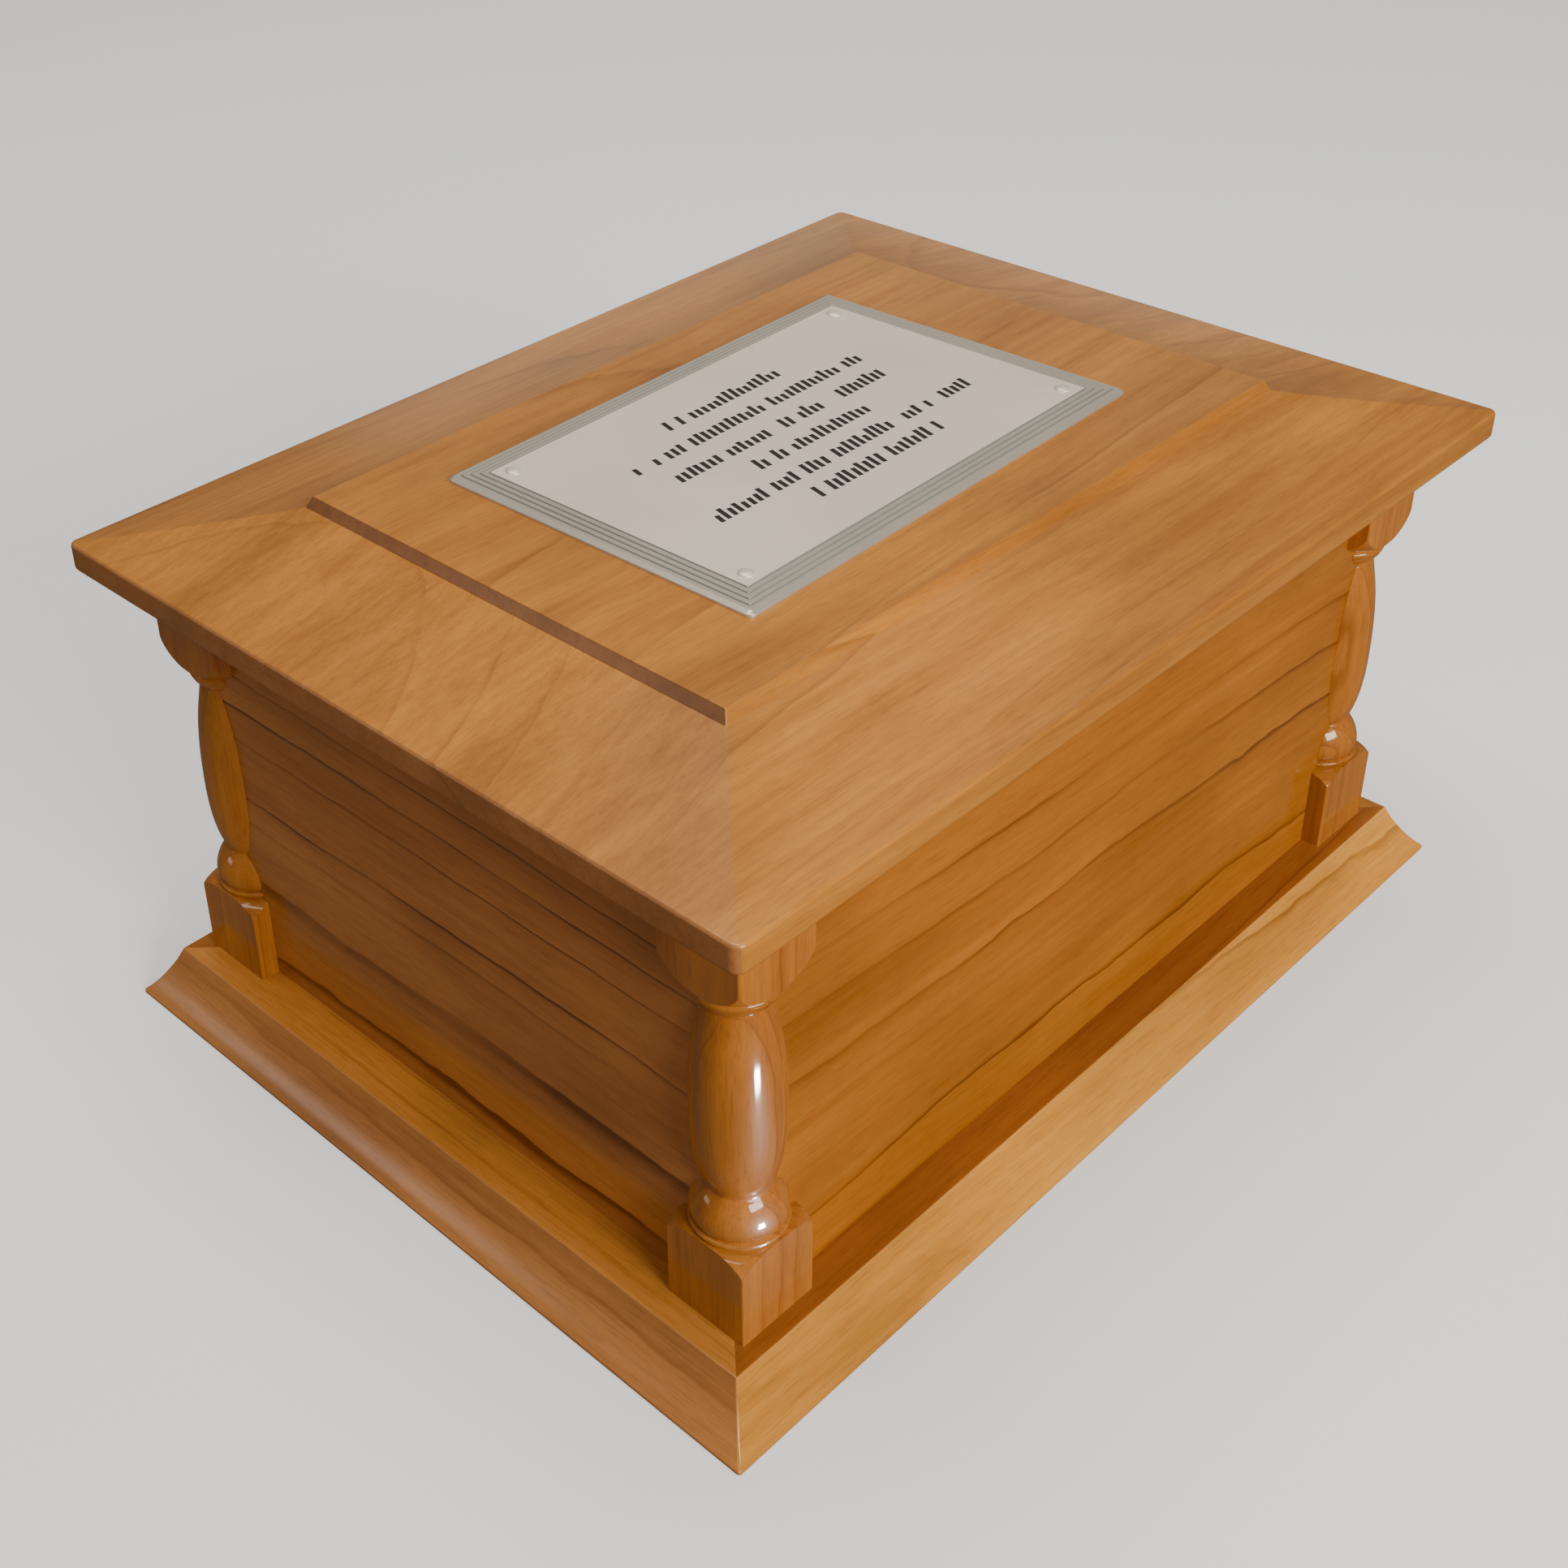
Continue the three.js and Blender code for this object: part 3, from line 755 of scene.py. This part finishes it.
def stroke_tree():
    """Slanted strokes of varied length along each row, with gaps, as shallow blocks to cut with."""
    tree = bpy.data.node_groups.new("Rows of strokes", "GeometryNodeTree")
    sockets = tree.interface
    sockets.new_socket("Geometry", in_out="INPUT", socket_type="NodeSocketGeometry")
    for label, value in STROKE_SETTINGS.items():
        kind = "NodeSocketInt" if isinstance(value, int) else "NodeSocketFloat"
        sockets.new_socket(label, in_out="INPUT", socket_type=kind)
    sockets.new_socket("Geometry", in_out="OUTPUT", socket_type="NodeSocketGeometry")
    given = tree.nodes.new("NodeGroupInput").outputs
    result = tree.nodes.new("NodeGroupOutput").inputs

    rows = tree.nodes.new("GeometryNodeMeshToCurve")
    join(tree, given["Geometry"], rows.inputs["Mesh"])
    spaced = tree.nodes.new("GeometryNodeCurveToPoints")
    spaced.mode = "LENGTH"
    join(tree, rows.outputs["Curve"], spaced.inputs["Curve"])
    join(tree, given["Pitch"], spaced.inputs["Length"])

    stroke = tree.nodes.new("GeometryNodeMeshCube")
    size = tree.nodes.new("ShaderNodeCombineXYZ")
    join(tree, given["Thickness"], size.inputs["X"])
    join(tree, given["Height"], size.inputs["Y"])
    join(tree, maths(tree, "MULTIPLY", given["Depth"], 2.0), size.inputs["Z"])
    join(tree, size.outputs[0], stroke.inputs["Size"])
    stand = tree.nodes.new("GeometryNodeTransform")
    join(tree, stroke.outputs["Mesh"], stand.inputs["Geometry"])
    lift = tree.nodes.new("ShaderNodeCombineXYZ")
    join(tree, maths(tree, "MULTIPLY", given["Height"], 0.5), lift.inputs["Y"])
    join(tree, lift.outputs[0], stand.inputs["Translation"])

    def random(offset):
        """A share from nought to one that is different for each stroke."""
        node = add_node(tree, "FunctionNodeRandomValue", data_type="FLOAT")
        join(tree, maths(tree, "ADD", given["Seed"], offset), node.inputs["Seed"])
        return next(socket for socket in node.outputs if socket.enabled)

    def between(low, high, share):
        return maths(tree, "ADD", low, maths(tree, "MULTIPLY", maths(tree, "SUBTRACT", high, low), share))

    lean = tree.nodes.new("ShaderNodeCombineXYZ")
    slant = between(given["Least Lean"], given["Most Lean"], random(1))
    join(tree, maths(tree, "MULTIPLY", slant, -1.0), lean.inputs["Z"])
    length = tree.nodes.new("ShaderNodeCombineXYZ")
    length.inputs["X"].default_value = 1.0
    join(tree, between(given["Shortest"], 1.0, random(2)), length.inputs["Y"])
    length.inputs["Z"].default_value = 1.0
    keep = maths(tree, "LESS_THAN", random(3), given["Kept Share"])

    copies = tree.nodes.new("GeometryNodeInstanceOnPoints")
    join(tree, spaced.outputs["Points"], copies.inputs["Points"])
    join(tree, keep, copies.inputs["Selection"])
    join(tree, stand.outputs["Geometry"], copies.inputs["Instance"])
    join(tree, lean.outputs[0], copies.inputs["Rotation"])
    join(tree, length.outputs[0], copies.inputs["Scale"])
    solid = tree.nodes.new("GeometryNodeRealizeInstances")
    join(tree, copies.outputs["Instances"], solid.inputs["Geometry"])
    painted = tree.nodes.new("GeometryNodeSetMaterial")
    painted.inputs["Material"].default_value = STROKE_PAINT
    join(tree, solid.outputs["Geometry"], painted.inputs["Geometry"])
    join(tree, painted.outputs["Geometry"], result["Geometry"])
    return tree


def make_strokes(top):
    """The strokes as one mesh, in the plaque's own frame, across its face."""
    points = []
    edges = []
    for left, right, y in STROKE_ROWS:
        edges.append((len(points), len(points) + 1))
        foot = y - STROKE_HEIGHT / 2
        points += [(left, foot, top), (right, foot, top)]
    mesh = bpy.data.meshes.new("stroke rows")
    mesh.from_pydata(points, edges, [])
    rows = new_object("stroke rows", mesh)
    modifier = rows.modifiers.new("strokes", "NODES")
    tree = stroke_tree()
    modifier.node_group = tree
    for socket in tree.interface.items_tree:
        if socket.name in STROKE_SETTINGS:
            modifier[socket.identifier] = STROKE_SETTINGS[socket.name]
    strokes = plain_mesh(rows)
    bpy.data.objects.remove(rows)
    return strokes


def make_plaque():
    """The plate with its strokes cut in. Gives the height of its face in the plaque's own frame."""
    outline = fillet(plaque_outline(), steps=3)
    top = outline[-1][1]
    rings = []
    for run, z in outline:
        corner = max(PLAQUE_CORNER - run, PLAQUE_INNER_CORNER)
        ring = rounded_loop(PLAQUE_LENGTH / 2 - run, PLAQUE_WIDTH / 2 - run, corner, z, steps=5)
        rings.append([on_lid(point) for point in ring])
    plaque = loft("plaque_plate", rings, smooth_angle=25)
    for material in PLAQUE_METALS:
        plaque.data.materials.append(material)
    border_start = PLAQUE_BEVEL_RUN + PLAQUE_BAND / 2
    sides = len(rings[0])
    # Groove faces in the border take the darker metal, painted shade; the other faces take the rim or the
    # face
    for level, (outer, inner) in enumerate(zip(outline, outline[1:])):
        in_shaded_groove = outer[0] > border_start and abs(outer[1] - inner[1]) > PLAQUE_GROOVE_DEPTH / 2
        last = level == len(outline) - 2
        for face in plaque.data.polygons[1 + level * sides:1 + (level + 1) * sides]:
            if last:
                face.material_index = PLAQUE_FACE_SLOT
            else:
                face.material_index = PLAQUE_SHADED_GROOVE_SLOT if in_shaded_groove else PLAQUE_RIM_SLOT

    cutter = new_object("stroke cutter", make_strokes(top))
    for vertex in cutter.data.vertices:
        vertex.co = on_lid(vertex.co)
    cut = plaque.modifiers.new("strokes", "BOOLEAN")
    cut.operation = "DIFFERENCE"
    cut.solver = "EXACT"
    cut.material_mode = "TRANSFER"
    cut.object = cutter
    engraved = plain_mesh(plaque)
    plaque.modifiers.clear()
    plaque.data = engraved
    bpy.data.objects.remove(cutter)
    finish(plaque, "plaque")
    return top


def make_pin(node, place):
    """A domed head on the plaque's face, with a shank that ends in the wood."""
    outline = [(PIN_SHANK, -PIN_SHANK_DEPTH), (PIN_SHANK, -PIN_SEAT), (1.0, -PIN_SEAT)]
    outline += [(math.cos(angle), math.sin(angle)) for angle in PIN_DOME_ANGLES]
    turns = [math.tau * step / PIN_SIDES for step in range(PIN_SIDES)]
    rings = []
    for share, rise in outline:
        radius = PIN_RADIUS * share
        z = place.z + PIN_RISE * rise
        ring = [(radius * math.cos(turn), radius * math.sin(turn)) for turn in turns]
        rings.append([(place.x + x, place.y + y, z) for x, y in ring])
    pin = loft(node + "_head", rings, smooth_angle=50)
    finish(pin, node, PIN_METAL)


def make_pins(top):
    """Four alike, one in each corner of the plaque's face, which is at the height top."""
    for front_back, sy in (("front", -1), ("back", 1)):
        for left_right, sx in (("left", -1), ("right", 1)):
            x = sx * (PLAQUE_LENGTH / 2 - PIN_INSET)
            y = sy * (PLAQUE_WIDTH / 2 - PIN_INSET)
            make_pin(f"plaque_pin_{front_back}_{left_right}", on_lid((x, y, top)))


# Studio
def make_floor():
    """A plain pale floor that glows a little where the camera sees it."""
    mesh = bpy.data.meshes.new("floor")
    corners = [(x * FLOOR_HALF, y * FLOOR_HALF, 0) for x, y in ((-1, -1), (1, -1), (1, 1), (-1, 1))]
    mesh.from_pydata(corners, [], [(0, 1, 2, 3)])
    floor = new_object("floor", mesh)
    material, tree, shader = new_material("pale floor", Roughness=0.9, Specular_IOR_Level=0.0)
    from_camera = tree.nodes.new("ShaderNodeLightPath").outputs["Is Camera Ray"]
    seen = mix_colour(tree, "MIX", from_camera, FLOOR_REFLECTED, FLOOR_SEEN)
    join(tree, seen, shader.inputs["Base Color"])
    shader.inputs["Emission Color"].default_value = (1, 1, 1, 1)
    join(tree, maths(tree, "MULTIPLY", from_camera, FLOOR_GLOW), shader.inputs["Emission Strength"])
    mesh.materials.append(material)


def area_light(name, place, target, width, height, power, colour=(1, 1, 1)):
    """A soft rectangular light that faces its target."""
    light = bpy.data.lights.new(name, "AREA")
    light.shape = "RECTANGLE"
    light.size = width
    light.size_y = height
    light.energy = power
    light.color = colour
    lamp = new_object(name, light)
    lamp.location = place
    lamp.rotation_euler = (Vector(place) - Vector(target)).to_track_quat("Z", "Y").to_euler()
    return lamp


def round_the_box(azimuth, elevation, distance):
    """A place seen from the middle of the box. Azimuth is measured from +X towards +Y."""
    turn = math.radians(azimuth)
    rise = math.radians(elevation)
    direction = Vector((math.cos(rise) * math.cos(turn), math.cos(rise) * math.sin(turn), math.sin(rise)))
    return MIDDLE + direction * distance


def make_lights():
    """Large soft lights round the box, one small glint and a dim warm world."""
    for name, azimuth, elevation, distance, width, height, power, colour in SOFT_LIGHTS:
        place = round_the_box(azimuth, elevation, distance)
        area_light(name, place, MIDDLE, width, height, power, colour)

    # A small low light that only glints on the turned columns
    glint = area_light("column glint", GLINT_PLACE, GLINT_TARGET, GLINT_WIDTH, GLINT_HEIGHT, GLINT_POWER)
    glint.data.spread = GLINT_SPREAD
    glint.visible_camera = False
    glint.visible_diffuse = False

    world = bpy.data.worlds.new("studio")
    bpy.context.scene.world = world
    world.use_nodes = True
    tree = world.node_tree
    from_camera = tree.nodes.new("ShaderNodeLightPath").outputs["Is Camera Ray"]
    seen = mix_colour(tree, "MIX", from_camera, WORLD_LIGHT, WORLD_SEEN)
    join(tree, seen, tree.nodes["Background"].inputs["Color"])


def make_camera():
    """The camera that took the photograph, as fitted to the box's edges."""
    camera = bpy.data.cameras.new("camera")
    camera.sensor_fit = "HORIZONTAL"
    camera.sensor_width = SENSOR_WIDTH
    camera.lens = FOCAL_PIXELS / PHOTO_PIXELS * SENSOR_WIDTH
    camera.shift_x = (PHOTO_PIXELS / 2 - OPTICAL_CENTRE[0]) / PHOTO_PIXELS
    camera.shift_y = (OPTICAL_CENTRE[1] - PHOTO_PIXELS / 2) / PHOTO_PIXELS
    camera.clip_start = 0.01
    holder = new_object("camera", camera)
    turned = Matrix((CAMERA_RIGHT, -CAMERA_DOWN, -CAMERA_FORWARD)).transposed()
    holder.matrix_world = Matrix.Translation(CAMERA_PLACE) @ turned.to_4x4()
    bpy.context.scene.camera = holder


def dress_walls():
    """The walls keep the shape of their solids and get only their wood."""
    for name, material in WALL_WOODS.items():
        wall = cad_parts[name]
        for slot in wall.material_slots:
            slot.material = material


make_camera()
make_base()
dress_walls()
make_columns()
make_lid()
make_pins(make_plaque())
make_floor()
make_lights()
